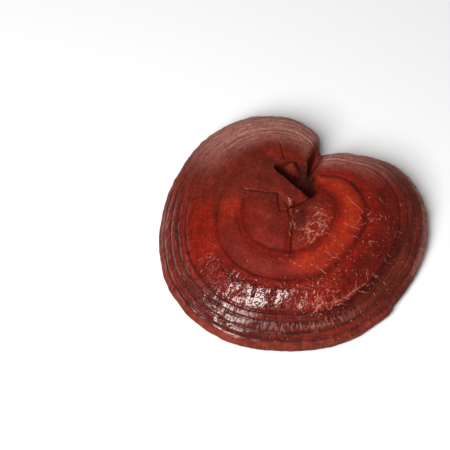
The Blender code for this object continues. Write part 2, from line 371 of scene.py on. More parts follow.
class Hairs:
    """Short pale threads and scratch marks, scattered over the outer zones and thickest at the front right.
    """

    ANGLES = (-130.0, 0.0)
    ZONES = (0.4, 0.92)
    THICKEST_AT = -38.0
    HEADINGS = (-0.35, -0.2, 0.5, 1.9)
    LENGTHS = (0.3, 1.6)
    STRETCHES = 3

    def __init__(self, form: CapForm, detail: SkinDetail) -> None:
        """Keeps the form and the detail, and seeds the choice."""
        self.form = form
        self.detail = detail
        self.chance = random.Random(detail.hair_seed)

    def scatter(self) -> tuple[Points, ...]:
        """Draws the threads, in millimetres from the hub."""
        lines = []
        while len(lines) < self.detail.hair_count:
            angle = self.chance.uniform(*self.ANGLES)
            zone = self.chance.uniform(*self.ZONES)
            thickness = smooth_step(0.0, 1.0, toward(angle, self.THICKEST_AT)) * smooth_step(0.35, 0.7, zone)
            if self.chance.random() > 0.12 + 0.88 * thickness:
                continue
            heading = self.chance.choice(self.HEADINGS) + self.chance.gauss(0.0, 0.3)
            stretch = self.chance.uniform(*self.LENGTHS) / self.STRETCHES
            bend = self.chance.gauss(0.0, 0.15)
            radius = zone * round_curve(self.form.rim_radii, angle)
            x, y = radius * math.cos(math.radians(angle)), radius * math.sin(math.radians(angle))
            line = [(x, y)]
            for _ in range(self.STRETCHES):
                x += stretch * math.cos(heading)
                y += stretch * math.sin(heading)
                heading += bend
                line.append((x, y))
            lines.append(tuple(line))
        return tuple(lines)


def spin_round(mesh: bmesh.types.BMesh, steps: int, merge: float) -> None:
    """Turns all that a mesh holds once round its upright axis and merges the points that meet."""
    bmesh.ops.spin(
        mesh,
        geom=list(mesh.verts) + list(mesh.edges),
        axis=(0.0, 0.0, 1.0),
        angle=math.tau,
        steps=steps,
        use_merge=True,
    )
    bmesh.ops.remove_doubles(mesh, verts=mesh.verts, dist=merge)


class CapMesh:
    """Builds the cap's mesh from its form and the skin's fine detail."""

    LAYERS = ("growth", "hollows", "cracks", "hairs")
    CROWDING_AT_RIM = 1.35
    PORE_STEPS = 3
    PIT_REACH = 2.0

    def __init__(self, form: CapForm, detail: SkinDetail, around: int, steps: int) -> None:
        """Keeps the form, the detail and the mesh's fineness.

        Args:
            form: the main form.
            detail: the fine forms.
            around: steps round the hub.
            steps: steps from the hub out to the edge.
        """
        self.form = form
        self.detail = detail
        self.around = around
        self.steps = steps
        self.cracks = LineMap(detail.cracks)
        self.hairs = LineMap(detail.scratches_and_glints + Hairs(form, detail).scatter())

    def section(self) -> list[tuple[float, float, Side]]:
        """The growth section as (share of the way to the rim, height, side), from hub to edge and back."""
        section = []
        for step in range(self.steps + 1):
            zone = 1.0 - (1.0 - step / self.steps) ** self.CROWDING_AT_RIM
            section.append((zone, self.form.dome_height(zone), Side.UPPER))
        corners = ((1.0, self.form.edge_height),) + self.form.pore_surface
        zones, heights = (tuple(enumerate(values)) for values in zip(*corners))
        for step in range(1, self.PORE_STEPS * (len(corners) - 1)):
            place = step / self.PORE_STEPS
            section.append((open_curve(zones, place), max(0.0, open_curve(heights, place)), Side.PORES))
        section.append((0.0, corners[-1][1], Side.PORES))
        return section

    def spin(self) -> bmesh.types.BMesh:
        """Turns the section about the hub. Each vertex carries its zone and side in a layer."""
        mesh = bmesh.new()
        for name in self.LAYERS:
            mesh.verts.layers.float_vector.new(name)
        growth = mesh.verts.layers.float_vector["growth"]
        points = []
        for zone, height, side in self.section():
            point = mesh.verts.new((zone, 0.0, height))
            point[growth] = (zone, float(side.value), 0.0)
            points.append(point)
        for pair in zip(points, points[1:]):
            mesh.edges.new(pair)
        spin_round(mesh, self.around, 1e-5)
        return mesh

    def pit_share(self, x: float, y: float) -> tuple[float, float]:
        """How far out of the pit's middle a place is, as a share of its outline, and in which direction."""
        dx, dy = x - self.form.pit_x, y - self.form.pit_y
        angle = math.degrees(math.atan2(dy, dx))
        return math.hypot(dx, dy) / round_curve(self.form.pit_outline, angle), angle

    def gather_at_pit(self, x: float, y: float) -> tuple[float, float, float, float]:
        """Moves a place towards the pit's outline, so that its steep wall gets enough faces.

        Args:
            x, y: the place, in millimetres from the hub.

        Returns:
            The new x and y, the new share of the outline, and the direction in degrees.
        """
        share, angle = self.pit_share(x, y)
        if share >= self.PIT_REACH or share == 0.0:
            return x, y, share, angle
        gathered = 1.0 + (share - 1.0) * (0.15 + 0.85 * smooth_step(0.1, 1.0, abs(share - 1.0)))
        scale = gathered / share
        dx, dy = (x - self.form.pit_x) * scale, (y - self.form.pit_y) * scale
        return self.form.pit_x + dx, self.form.pit_y + dy, gathered, angle

    def pit_height(self, share: float, angle: float, x: float, y: float) -> tuple[float, float]:
        """The pit's surface, steep under the hub's plate and gentler elsewhere, with a lump in it.

        Args:
            share: how far out of the pit's middle the place is, as a share of its outline.
            angle: its direction from there, in degrees.
            x, y: the place, in millimetres from the hub.

        Returns:
            The height, and 1 on the lump or 0 off it.
        """
        detail = self.detail
        gentle = smooth_step(-60.0, -25.0, angle) * (1.0 - smooth_step(75.0, 120.0, angle))
        inward = 1.0 + (share - 1.0) / (1.0 + detail.pit_easing * gentle) if share < 1.0 else share
        height = open_curve(detail.steep_wall, inward) * (1.0 - gentle)
        height += open_curve(detail.gentle_wall, inward) * gentle
        height += 0.9 * gentle * uneven(x, y, 0.0, 2.2, 6.5) * smooth_step(0.3, 0.7, share)
        off = math.dist((x, y), detail.lump_in_pit) / detail.lump_in_pit_radius
        lump = detail.lump_in_pit_top - detail.lump_in_pit_fall * off * off
        lump += 0.8 * uneven(x, y, 0.0, 2.6, 4.0)
        on_lump = smooth_step(-0.6, 0.8, lump - height) if share < 1.02 else 0.0
        return height + max(0.0, lump - height) * on_lump, on_lump

    def skin_height(self, x: float, y: float, zone: float, angle: float) -> float:
        """Height of the upper skin's main relief over the dome: zones, swells, crease, valley and hub.

        Args:
            x, y: the place, in millimetres from the hub.
            zone: share of the way from hub to rim.
            angle: direction from the hub in degrees.

        Returns:
            The height in millimetres.
        """
        form = self.form
        inside_rim = 1.0 - smooth_step(0.8, 0.93, zone)
        relief = form.zone_relief(zone, angle)
        swell = noise.noise(Vector((x, y, 0.0)) / 24.0 + Vector((3.1, 8.4, 1.7)))
        relief += self.detail.swell * swell * inside_rim
        crease = 1.0 - smooth_step(0.0, form.crease_half_width, distance_to_line(x, y, form.crease_line))
        valley = 1.0 - smooth_step(0.0, form.valley_half_width, distance_to_line(x, y, form.valley_line))
        relief -= max(form.crease_depth * crease * inside_rim, form.valley_depth * valley)
        if zone < 0.5:
            relief += self.hub_height(x, y)
        return relief

    def hub_height(self, x: float, y: float) -> float:
        """Height of the hub's plates, nodules and sector above the dome."""
        detail = self.detail
        off = math.dist((x, y), detail.sector_hill_middle) / detail.sector_hill_reach
        height = detail.sector_hill * (1.0 - smooth_step(0.0, 1.0, off))
        for plate, rise in ((detail.plate, detail.plate_rise), (detail.tongue, 0.8 * detail.plate_rise)):
            inside = min(self.inside_edge(x, y, a, b) for a, b in zip(plate, plate[1:] + plate[:1]))
            height += rise * smooth_step(-1.8, 1.4, inside)
        for nodule in detail.nodules:
            height += detail.nodule_rise * (1.0 - smooth_step(0.3, 1.9, math.dist((x, y), nodule)))
        return height

    @staticmethod
    def inside_edge(x: float, y: float, start: Point, end: Point) -> float:
        """How far a place is on the inner side of an edge of a plate whose corners run clockwise."""
        dx, dy = end[0] - start[0], end[1] - start[1]
        return ((x - start[0]) * dy - (y - start[1]) * dx) / math.hypot(dx, dy)

    def shape(self, mesh: bmesh.types.BMesh) -> None:
        """Draws the spun section out to the kidney outline and raises its main relief."""
        form, detail = self.form, self.detail
        growth = mesh.verts.layers.float_vector["growth"]
        hollows = mesh.verts.layers.float_vector["hollows"]
        rims: dict[int, tuple[float, float]] = {}
        for vert in mesh.verts:
            zone, side, _ = vert[growth]
            angle = math.degrees(math.atan2(vert.co.y, vert.co.x))
            angle -= form.gathering * math.sin(math.radians(angle - form.notch_direction))
            key = round(angle * 1000)
            if key not in rims:
                rims[key] = (form.rim_radius(angle), self.edge_detail(angle))
            rim, edge = rims[key]
            cosine, sine = math.cos(math.radians(angle)), math.sin(math.radians(angle))
            radius = zone * rim + smooth_step(0.86, 1.0, zone) * edge
            x, y = radius * cosine, radius * sine
            height = vert.co.z + form.lift(zone, angle)
            grown, share, on_lump = 2.0 - zone, math.inf, 0.0
            if side == Side.UPPER.value:
                wander = uneven(cosine * 30.0, sine * 30.0, zone * 30.0, 9.0, 1.0)
                grown = zone + detail.zone_wander * wander * math.sin(math.pi * min(1.0, zone))
                x, y, share, direction = self.gather_at_pit(x, y)
                height += self.skin_height(x, y, min(1.0, max(0.0, grown)), angle)
                if share < self.PIT_REACH:
                    pit_height, on_lump = self.pit_height(share, direction, x, y)
                    height = min(height, pit_height)
            vert.co = (x, y, height)
            vert[growth] = (cosine, sine, grown)
            vert[hollows] = self.hollow_shade(x, y, height, share, on_lump)

    def hollow_shade(
        self, x: float, y: float, height: float, share: float, on_lump: float
    ) -> tuple[float, float, float]:
        """What the finish is told about the pit and the crease at a place.

        Args:
            x, y: the place, in millimetres from the hub.
            height: its height.
            share: how far out of the pit's middle it is, as a share of the pit's outline.
            on_lump: 1 on the lump in the pit, 0 off it.

        Returns:
            How much painted shade the pit gets there, 1 inside the pit, and 1 in the crease, or 0 off them.
        """
        inside = 1.0 - smooth_step(0.86, 1.12, share)
        # Painted shade: darkest deep in the pit, and under the plate's overhanging edge.
        deep = inside * (1.0 - 0.8 * smooth_step(22.5, 30.5, height)) * (1.0 - 0.95 * on_lump)
        reach = 3.0 + 0.5 * max(0.0, self.detail.plate_height - height)
        from_plate = distance_to_line(x, y, self.detail.plate_edge)
        under_plate = 0.95 * inside * (1.0 - smooth_step(reach - 1.0, reach + 1.2, from_plate))
        crease = 1.0 - smooth_step(2.0, 7.5, distance_to_line(x, y, self.form.crease_line))
        return max(deep, under_plate), inside, crease

    def edge_detail(self, angle: float) -> float:
        """How far the rim's scallops and its one broken step stand out, in millimetres."""
        detail = self.detail
        around = math.radians(angle)
        x, y = 70.0 * math.cos(around), 70.0 * math.sin(around)
        scallops = detail.edge_scallop * (uneven(x, y, 0.0, 6.0, 2.0) + 0.6 * uneven(x, y, 0.0, 2.6, 5.0))
        off = angle - detail.rim_step_direction
        step = smooth_step(-12.0, -3.0, off) * (1.0 - smooth_step(-1.0, 1.5, off))
        return scallops + detail.rim_step * step

    def roughen(self, mesh: bmesh.types.BMesh) -> None:
        """Pushes the skin in and out along its own normals, and stores the way to the marks on it."""
        growth, _, cracks, hairs = (mesh.verts.layers.float_vector[name] for name in self.LAYERS)
        mesh.normal_update()
        moved = []
        for vert in mesh.verts:
            x, y, z = vert.co
            if vert[growth][2] <= 1.0:
                vert[cracks] = self.cracks.offset(x, y)
                vert[hairs] = self.hairs.offset(x, y)
                push = self.upper_push(vert.co, vert[growth], vert[cracks][2])
            else:
                vert[cracks] = vert[hairs] = LineMap.NONE_NEAR
                push = 0.18 * uneven(x, y, z, 12.0, 7.0) + 0.05 * uneven(x, y, z, 2.5, 8.0)
                push *= smooth_step(0.2, 2.5, z)
            moved.append((vert, vert.normal * push))
        for vert, step in moved:
            vert.co += step

    def upper_push(self, place: Vector, growth: Vector, crack: float) -> float:
        """How far the upper skin stands out at a place: lumps, wrinkles and cracks.

        Args:
            place: the place.
            growth: cosine and sine of its direction from the hub, and its zone.
            crack: distance to the nearest crack.

        Returns:
            The push along the skin's normal, in millimetres.
        """
        detail = self.detail
        x, y, z = place
        cosine, sine, zone = growth

        def drawn_out(around: float, outward: float) -> float:
            """Smooth random height in lumps that follow or cross the rings."""
            return noise.noise(Vector((cosine * around, sine * around, zone * outward)))

        smooth_ring = smooth_step(0.36, 0.42, zone) * (1.0 - smooth_step(0.5, 0.55, zone))
        outer = smooth_step(0.54, 0.6, zone) * (1.0 - smooth_step(0.97, 1.0, zone))
        push = detail.lumps * uneven(x, y, z, 9.0, 3.0)
        push += detail.wrinkles * outer * (0.6 * drawn_out(32.0, 9.0) + 0.5 * drawn_out(62.0, 22.0))
        knobs = 0.12 * uneven(x, y, z, 2.6, 6.0) + detail.knobs * uneven(x, y, z, 4.6, 12.0)
        push += (1.0 - smooth_ring) * knobs
        push += detail.rim_crumple * smooth_step(0.76, 0.84, zone) * drawn_out(14.0, 70.0)
        crack += 0.35 * uneven(x, y, 0.0, 1.4, 9.0)
        return push - detail.crack_depth * (1.0 - smooth_step(0.0, detail.crack_half_width, crack))

    def build(self) -> bmesh.types.BMesh:
        """Makes the closed cap in millimetres from the hub, with its faces pointing out."""
        mesh = self.spin()
        self.shape(mesh)
        self.roughen(mesh)
        bmesh.ops.recalc_face_normals(mesh, faces=mesh.faces)
        return mesh


def add_object(name: str, data: bpy.types.ID) -> bpy.types.Object:
    """Puts a new object in the scene."""
    made = bpy.data.objects.new(name, data)
    bpy.context.scene.collection.objects.link(made)
    return made


def finish_piece(
    name: str, mesh: bmesh.types.BMesh, middle: Point, material: bpy.types.Material
) -> bpy.types.Object:
    """Turns a bmesh in millimetres into an object in metres whose place is in its mesh.

    Args:
        name: the piece's name.
        mesh: the mesh, which is freed.
        middle: where the mesh's own zero goes, in millimetres.
        material: the finish.

    Returns:
        The linked object.
    """
    bmesh.ops.translate(mesh, vec=(*middle, 0.0), verts=mesh.verts)
    bmesh.ops.transform(mesh, matrix=Matrix.Scale(MM, 4), verts=mesh.verts)
    data = bpy.data.meshes.new(name)
    mesh.to_mesh(data)
    mesh.free()
    data.shade_smooth()
    data.materials.append(material)
    return add_object(name, data)


@dataclass(frozen=True)
class StemForm:
    """The stub of the stem, from its cut end up to the cap. Its middle is in millimetres from the hub."""

    x: float = 3.0
    y: float = 9.0
    section: Points = (
        (0.0, 0.0), (9.2, 0.0), (9.7, 0.5), (9.6, 2.6), (9.9, 5.2), (10.8, 7.6), (12.3, 9.4), (13.4, 10.2),
        (0.0, 10.2),
    )
    around: int = 128
    flattening: float = 0.88
    ribs: int = 7
    rib_height: float = 0.03
    bark_wrinkle: float = 0.3


class StemMesh:
    """Builds the stem's mesh."""

    def __init__(self, form: StemForm) -> None:
        """Keeps the stem's form."""
        self.form = form

    def build(self) -> bmesh.types.BMesh:
        """Turns the section, makes it oval and ribbed, and wrinkles its bark.

        Returns:
            The closed mesh in millimetres from the stem's middle.
        """
        form = self.form
        mesh = bmesh.new()
        points = [mesh.verts.new((radius, 0.0, height)) for radius, height in form.section]
        edges = [mesh.edges.new(pair) for pair in zip(points, points[1:])]
        bmesh.ops.subdivide_edges(mesh, edges=edges, cuts=5)
        spin_round(mesh, form.around, 1e-4)
        for vert in mesh.verts:
            angle = math.atan2(vert.co.y, vert.co.x)
            swell = 1.0 + form.rib_height * math.sin(form.ribs * angle)
            vert.co.x *= swell
            vert.co.y *= swell * form.flattening
        mesh.normal_update()
        for vert in mesh.verts:
            x, y, z = vert.co
            side = smooth_step(0.2, 1.2, z)
            vert.co += vert.normal * (form.bark_wrinkle * side * uneven(x, y, 0.35 * z, 1.6, 11.0))
        bmesh.ops.recalc_face_normals(mesh, faces=mesh.faces)
        return mesh


class Wire:
    """A shader value or vector that takes part in Python expressions."""

    def __init__(self, graph: "Graph", socket: bpy.types.NodeSocket) -> None:
        """Keeps the socket and the graph that it belongs to."""
        self.graph = graph
        self.socket = socket

    def __add__(self, other: "Wire | float") -> "Wire":
        """self + other."""
        return self.graph.math("ADD", self, other)

    __radd__ = __add__

    def __sub__(self, other: "Wire | float") -> "Wire":
        """self - other."""
        return self.graph.math("SUBTRACT", self, other)

    def __rsub__(self, other: float) -> "Wire":
        """other - self."""
        return self.graph.math("SUBTRACT", other, self)

    def __mul__(self, other: "Wire | float") -> "Wire":
        """self * other."""
        return self.graph.math("MULTIPLY", self, other)

    __rmul__ = __mul__

    def span(self, low: float, high: float, to_low: float = 0.0, to_high: float = 1.0) -> "Wire":
        """An even S from to_low, where this is low, to to_high, where it is high."""
        return self.graph.wire(
            "ShaderNodeMapRange",
            {"interpolation_type": "SMOOTHSTEP"},
            {"Value": self, "From Min": low, "From Max": high, "To Min": to_low, "To Max": to_high},
        )

    def band(self, low: float, start: float, end: float, high: float) -> "Wire":
        """1 from start to end, falling to 0 at low and at high."""
        return self.span(low, start) * self.span(end, high, 1.0, 0.0)


class Graph:
    """Builds the nodes of one material."""

    def __init__(self, name: str) -> None:
        """Makes the material with its own shader."""
        self.material = bpy.data.materials.new(name)
        self.material.use_nodes = True
        self.tree = self.material.node_tree
        self.shader = self.tree.nodes["Principled BSDF"]

    def node(self, kind: str, settings: dict, sockets: dict) -> bpy.types.Node:
        """Makes a node.

        Args:
            kind: the node's type.
            settings: its own settings, set first. "stops" is a ramp's (place, colour) list.
            sockets: a value or Wire for each named or numbered input.

        Returns:
            The node.
        """
        made = self.tree.nodes.new(kind)
        for key, value in settings.items():
            if key == "stops":
                while len(made.color_ramp.elements) < len(value):
                    made.color_ramp.elements.new(0.5)
                for element, (place, colour) in zip(made.color_ramp.elements, value):
                    element.position = place
                    element.color = (*colour, 1.0)
            else:
                setattr(made, key, value)
        for key, value in sockets.items():
            self.feed(made.inputs[key], value)
        return made

    def wire(self, kind: str, settings: dict, sockets: dict, output: int = 0) -> Wire:
        """Makes a node and returns one of its outputs."""
        return Wire(self, self.node(kind, settings, sockets).outputs[output])

    def feed(self, socket: bpy.types.NodeSocket, value: "Wire | float | tuple") -> None:
        """Links a wire to an input, or sets the input's own value."""
        if isinstance(value, Wire):
            self.tree.links.new(value.socket, socket)
        else:
            socket.default_value = (*value, 1.0) if socket.type == "RGBA" else value

    def feed_shader(self, sockets: dict) -> None:
        """Links or sets inputs of the material's own shader, by name."""
        for name, value in sockets.items():
            self.feed(self.shader.inputs[name], value)

    def math(self, operation: str, *values: "Wire | float") -> Wire:
        """A Math node on these values."""
        return self.wire("ShaderNodeMath", {"operation": operation}, dict(enumerate(values)))

    def largest(self, first: Wire, *others: Wire) -> Wire:
        """The largest of some values."""
        for other in others:
            first = self.math("MAXIMUM", first, other)
        return first

    def place(self) -> Wire:
        """The place in the piece's own coordinates, in millimetres."""
        return self.scale(self.wire("ShaderNodeTexCoord", {}, {}, 3), 1.0 / MM)

    def vector(self, operation: str, *values: "Wire | tuple") -> Wire:
        """A Vector Math node on these values."""
        return self.wire("ShaderNodeVectorMath", {"operation": operation}, dict(enumerate(values)))

    def scale(self, vector: Wire, factor: "Wire | float") -> Wire:
        """A vector times a number."""
        return self.wire("ShaderNodeVectorMath", {"operation": "SCALE"}, {0: vector, "Scale": factor})

    def length(self, vector: Wire) -> Wire:
        """A vector's length."""
        return self.wire("ShaderNodeVectorMath", {"operation": "LENGTH"}, {0: vector}, 1)

    def dot(self, first: Wire, second: "Wire | tuple") -> Wire:
        """The dot product of two vectors."""
        return self.wire("ShaderNodeVectorMath", {"operation": "DOT_PRODUCT"}, {0: first, 1: second}, 1)

    def split(self, vector: Wire) -> tuple[Wire, Wire, Wire]:
        """A vector's three numbers."""
        parts = self.node("ShaderNodeSeparateXYZ", {}, {0: vector})
        return tuple(Wire(self, output) for output in parts.outputs)

    def join(self, x: "Wire | float", y: "Wire | float", z: "Wire | float") -> Wire:
        """A vector of three numbers."""
        return self.wire("ShaderNodeCombineXYZ", {}, {0: x, 1: y, 2: z})

    def mix(self, share: "Wire | float", first: "Wire | Colour", second: "Wire | Colour") -> Wire:
        """A colour between two."""
        return self.wire("ShaderNodeMix", {"data_type": "RGBA"}, {0: share, 6: first, 7: second}, 2)

    def turned(self, where: Wire, angle: float, along: float, across: float) -> Wire:
        """A place in the plan, turned by an angle in radians and scaled along and across that direction."""
        first = (along * math.cos(angle), along * math.sin(angle), 0.0)
        second = (-across * math.sin(angle), across * math.cos(angle), 0.0)
        return self.join(self.dot(where, first), self.dot(where, second), 0.0)

    def noise(self, where: Wire, scale: float, detail: float = 2.0, roughness: float = 0.5) -> Wire:
        """Smooth random values between 0 and 1."""
        sockets = {"Vector": where, "Scale": scale, "Detail": detail, "Roughness": roughness}
        return self.wire("ShaderNodeTexNoise", {}, sockets)

    def attribute(self, name: str) -> Wire:
        """A mesh attribute's vector."""
        return self.wire("ShaderNodeAttribute", {"attribute_name": name}, {}, 1)

    def ramp(self, where: Wire, stops: tuple) -> Wire:
        """A colour ramp read at a value."""
        return self.wire("ShaderNodeValToRGB", {"stops": stops}, {0: where})

    def bump(self, height: Wire) -> Wire:
        """The surface's normal, raised by a height in millimetres."""
        return self.wire("ShaderNodeBump", {}, {"Strength": 1.0, "Distance": MM, "Height": height})


@dataclass(frozen=True)
class SkinFinish:
    """The cap's finish: natural varnish over ringed skin above, matte pores below. Colours are linear."""

    zones: tuple[tuple[float, Colour], ...] = (
        (0.0, (0.15, 0.013, 0.006)), (0.2, (0.16, 0.012, 0.0055)), (0.3, (0.19, 0.011, 0.0045)),
        (0.34, (0.16, 0.009, 0.004)), (0.38, (0.29, 0.016, 0.0055)), (0.43, (0.375, 0.027, 0.0085)),
        (0.49, (0.35, 0.024, 0.008)), (0.525, (0.24, 0.014, 0.0055)), (0.55, (0.11, 0.008, 0.004)),
        (0.575, (0.21, 0.011, 0.0045)), (0.62, (0.235, 0.011, 0.004)), (0.72, (0.215, 0.01, 0.004)),
        (0.775, (0.21, 0.0105, 0.004)), (0.79, (0.085, 0.0065, 0.004)), (0.805, (0.21, 0.013, 0.006)),
        (0.835, (0.165, 0.014, 0.007)), (0.848, (0.062, 0.0085, 0.0055)), (0.865, (0.145, 0.016, 0.009)),
        (0.892, (0.15, 0.018, 0.01)), (0.905, (0.066, 0.012, 0.008)), (0.925, (0.2, 0.017, 0.008)),
        (0.953, (0.095, 0.011, 0.0065)), (0.97, (0.19, 0.023, 0.012)), (1.0, (0.175, 0.03, 0.017)),
    )
    lobe: Colour = (0.152, 0.0155, 0.008)
    sector: Colour = (0.33, 0.024, 0.009)
    sector_painted_highlight: Colour = (0.68, 0.22, 0.14)
    hollow_shade: Colour = (0.07, 0.008, 0.005)
    unbroken_ring: Colour = (0.235, 0.015, 0.006)
    darker: Colour = (0.105, 0.011, 0.006)
    in_pit: Colour = (0.21, 0.024, 0.013)
    ring_front_shade: Colour = (0.14, 0.009, 0.0045)
    # Pale pink of dust, also laid as painted sheen on the rims and as painted highlights.
    dust_and_sheen: Colour = (0.52, 0.235, 0.19)
    brown: Colour = (0.135, 0.02, 0.012)
    # Near-black of the cracks, also laid as painted shade in the pit and in a band at the front right.
    crack: Colour = (0.022, 0.004, 0.003)
    # Pale pink of dust flecks and threads, also laid as painted highlights drawn as strokes.
    fleck: Colour = (0.56, 0.22, 0.14)
    pores: Colour = (0.5, 0.34, 0.2)
    pores_dark: Colour = (0.27, 0.145, 0.07)
    varnish_tint: Colour = (1.0, 0.88, 0.84)
    fleck_layers: tuple[tuple[float, float, float, float], ...] = (
        (0.0, 0.42, 0.42, 0.13),
        (0.6, 0.21, 0.62, 0.125),
        (-0.7, 0.2, 0.66, 0.11),
    )

    def make(self, form: CapForm) -> bpy.types.Material:
        """Builds the skin's material.

        Args:
            form: the cap's form, for the places of its hub and small lobe.

        Returns:
            The material.
        """
        graph = Graph("reishi_skin")
        place = graph.vector("SUBTRACT", graph.place(), (form.hub_x, form.hub_y, 0.0))
        growth = graph.attribute("growth")
        pit, in_pit, crease = graph.split(graph.attribute("hollows"))
        cosine, sine, zone = graph.split(growth)

        def facing(x: float, y: float) -> Wire:
            """Cosine of the angle between the direction from the hub and the direction (x, y)."""
            return graph.dot(growth, (x, y, 0.0))

        def streaks(around: float, outward: float, detail: float) -> Wire:
            """Random values drawn out along the rings or across them."""
            where = graph.join(cosine * around, sine * around, zone * outward)
            return graph.noise(where, 1.0, detail, 0.55)

        def lay(share: Wire, tint: "Wire | Colour") -> None:
            """Lays a tint over the colour so far."""
            nonlocal colour
            colour = graph.mix(share, colour, tint)

        # The skin's parts, and the random values that they share.
        below = zone.span(1.03, 1.075)
        lobe_angle = math.radians(form.small_lobe_direction)
        lobe = facing(math.cos(lobe_angle), math.sin(lobe_angle)).span(0.3, 0.78)
        back = facing(0.08, 0.99)
        front = facing(0.0, -1.0).span(0.7, 0.97)
        front_left = facing(-0.45, -0.89).span(-0.15, 0.75)
        ring = zone.band(0.34, 0.4, 0.52, 0.545) * (1.0 - lobe)
        outer = zone.band(0.545, 0.58, 0.97, 1.0)
        in_bands = zone.span(0.775, 0.795)
        sector = facing(0.8, -0.6).span(0.72, 0.95) * zone.band(0.11, 0.22, 0.305, 0.335)
        patch = facing(-0.4, -0.917).span(0.78, 0.97) * zone.band(0.56, 0.64, 0.95, 0.97)
        rings = streaks(4.0, 62.0, 3.0)
        fibres = streaks(58.0, 12.0, 3.0)
        blotches = graph.noise(place, 0.11, 3.0, 0.6)
        mottle = graph.noise(place, 0.55, 4.0, 0.65)
        grain = graph.noise(place, 1.5, 3.0, 0.65)

        # The colours of the growth zones, and where they differ on one side.
        colour = graph.ramp(zone + (rings - 0.5) * 0.012, self.zones)
        lay(lobe * zone.span(0.85, 0.93, 1.0, 0.0), self.lobe)
        lay(sector * 0.4, self.sector)
        # Painted shade: near-black in the hollow between the hub's valley and its sector.
        hollow_shade = graph.vector("SUBTRACT", graph.turned(place, 1.22, 0.45, 1.0), (-1.9, -8.6, 0.0))
        lay(graph.length(hollow_shade).span(1.0, 5.5, 0.85, 0.0), self.hollow_shade)
        # Painted shade: the orange ring darker at the front left.
        ring_front_shade = ring * facing(-0.64, -0.77).span(0.4, 0.95)
        lay(ring_front_shade * 0.85, self.ring_front_shade)
        browned = zone.band(0.79, 0.845, 1.02, 1.05) * facing(0.99, -0.14).span(0.45, 0.95)
        lay(browned * 0.6, self.brown)
        darker = zone.band(0.6, 0.655, 0.79, 0.82) * facing(0.97, -0.22).span(0.5, 0.92)
        lay(darker * rings.span(0.35, 0.6, 0.3, 0.85), self.darker)
        unbroken = zone.band(0.51, 0.535, 0.565, 0.59) * facing(0.31, 0.95).span(0.72, 0.93)
        lay(unbroken * 0.85, self.unbroken_ring)
        # Painted shade: a near-black band in the zones at the front right.
        shaded = zone.band(0.77, 0.795, 0.82, 0.845) * facing(0.72, -0.69).span(0.68, 0.95)
        lay(shaded * 0.62, self.crack)
        # Paler grey-pink along the rim's edge on the right.
        pale_right_edge = zone.band(0.945, 0.985, 1.02, 1.05) * facing(0.97, 0.22).span(0.7, 0.95)
        lay(pale_right_edge * grain.span(0.35, 0.62, 0.2, 0.75), self.dust_and_sheen)

        # Wrinkles in the varnish, and the tone that all these random values give, with painted shade over the
        # shining patch.
        wrinkled = zone.band(0.56, 0.6, 0.93, 0.98) * (1.0 - lobe)
        wrinkled = wrinkled * graph.largest(front_left, zone.span(0.79, 0.83) * 0.6)
        folds = graph.noise(place, 0.62, 0.0, 0.5) * (1.0 - in_bands) + streaks(62.0, 22.0, 0.0) * in_bands
        from_line = graph.math("ABSOLUTE", folds - 0.5) * (in_bands * 0.7 + 1.0)
        groove = wrinkled * from_line.span(0.03, 0.095, 1.0, 0.0)
        wrinkle = folds * 0.4 + graph.noise(place, 0.8, 0.0, 0.5) * 0.6
        streaky = zone.span(0.58, 0.72, 0.45, 1.0)
        shade = ((rings - 0.5) * streaky).span(-0.2, 0.2, 0.78, 1.22) * fibres.span(0.3, 0.7, 0.88, 1.12)
        shade = shade * mottle.span(0.3, 0.72, 0.76, 1.22) * blotches.span(0.35, 0.65, 0.84, 1.16)
        shade = shade * grain.span(0.3, 0.7, 0.74, 1.03)
        # Painted shade: darker in the wrinkles' grooves within the shining patch, and over the whole patch.
        shade = shade * (1.0 - groove * patch * 0.7) * (1.0 - patch * 0.25)
        shade = shade * ((fibres - 0.5) * zone.span(0.93, 0.97) * 0.9 + 1.0)
        colour = graph.scale(colour, shade)

        # Pale dust and painted sheen in fine lines along the back rim.
        striae = graph.math("SINE", zone * 235.0 + (rings - 0.5) * 9.0) * 0.35
        striae = striae + (streaks(7.0, 95.0, 1.0) - 0.5) * 2.4
        back_rim = back.span(0.3, 0.9) * zone.band(0.58, 0.84, 0.972, 0.992)
        dust_and_sheen = back_rim * (striae * 0.48 + 0.7) * mottle.span(0.3, 0.62, 0.6, 1.05) * (1.0 - crease)
        lay(dust_and_sheen * 0.88, self.dust_and_sheen)

        # Cracks, threads, flecks and other small marks, with painted highlights and painted shade among them.
        wobble = (graph.noise(place, 0.75, 2.0) - 0.5) * 2.2
        crack = self.mark(graph, "cracks", wobble, 0.42) * grain.span(0.3, 0.5, 0.45, 1.0)
        thread_and_glint = self.mark(graph, "hairs", wobble * 0.3, 0.32) * grain.span(0.42, 0.56, 0.15, 1.0)
        fleck = self.flecks(graph, place, growth, zone)
        # Painted highlights: pale hatching in the front bands, and pale curls along the wrinkles' grooves
        # beside the shining patch.
        glint_hatch = zone.band(0.835, 0.855, 0.88, 0.905) * front * folds.span(0.46, 0.6)
        glint_curls = groove * zone.span(0.8, 0.78) * (1.0 - patch) * mottle.span(0.48, 0.62) * front.span(0.4, 1.0)
        lay(graph.largest(glint_hatch * 0.24, glint_curls * 0.36), self.dust_and_sheen)
        crinkle = graph.noise(graph.turned(place, 0.6, 0.36, 1.15), 1.0, 0.0, 0.6)
        # Painted highlight: pale pinkish-orange strokes on the crinkles' ridges in the hub's sector.
        ridge_highlight = (crinkle + (mottle - 0.5) * 0.6).span(0.52, 0.67) * sector
        ridge_highlight = ridge_highlight * graph.noise(place, 0.21, 0.0, 0.5).span(0.42, 0.6)
        lay(ridge_highlight * 0.45, self.sector_painted_highlight)
        lay(crack * 0.68, self.crack)
        # Pale threads and flecks of dust, with painted highlights among the threads.
        lay(graph.largest(thread_and_glint * 0.8, fleck * 0.75), self.fleck)
        lay(in_pit * 0.8, self.in_pit)
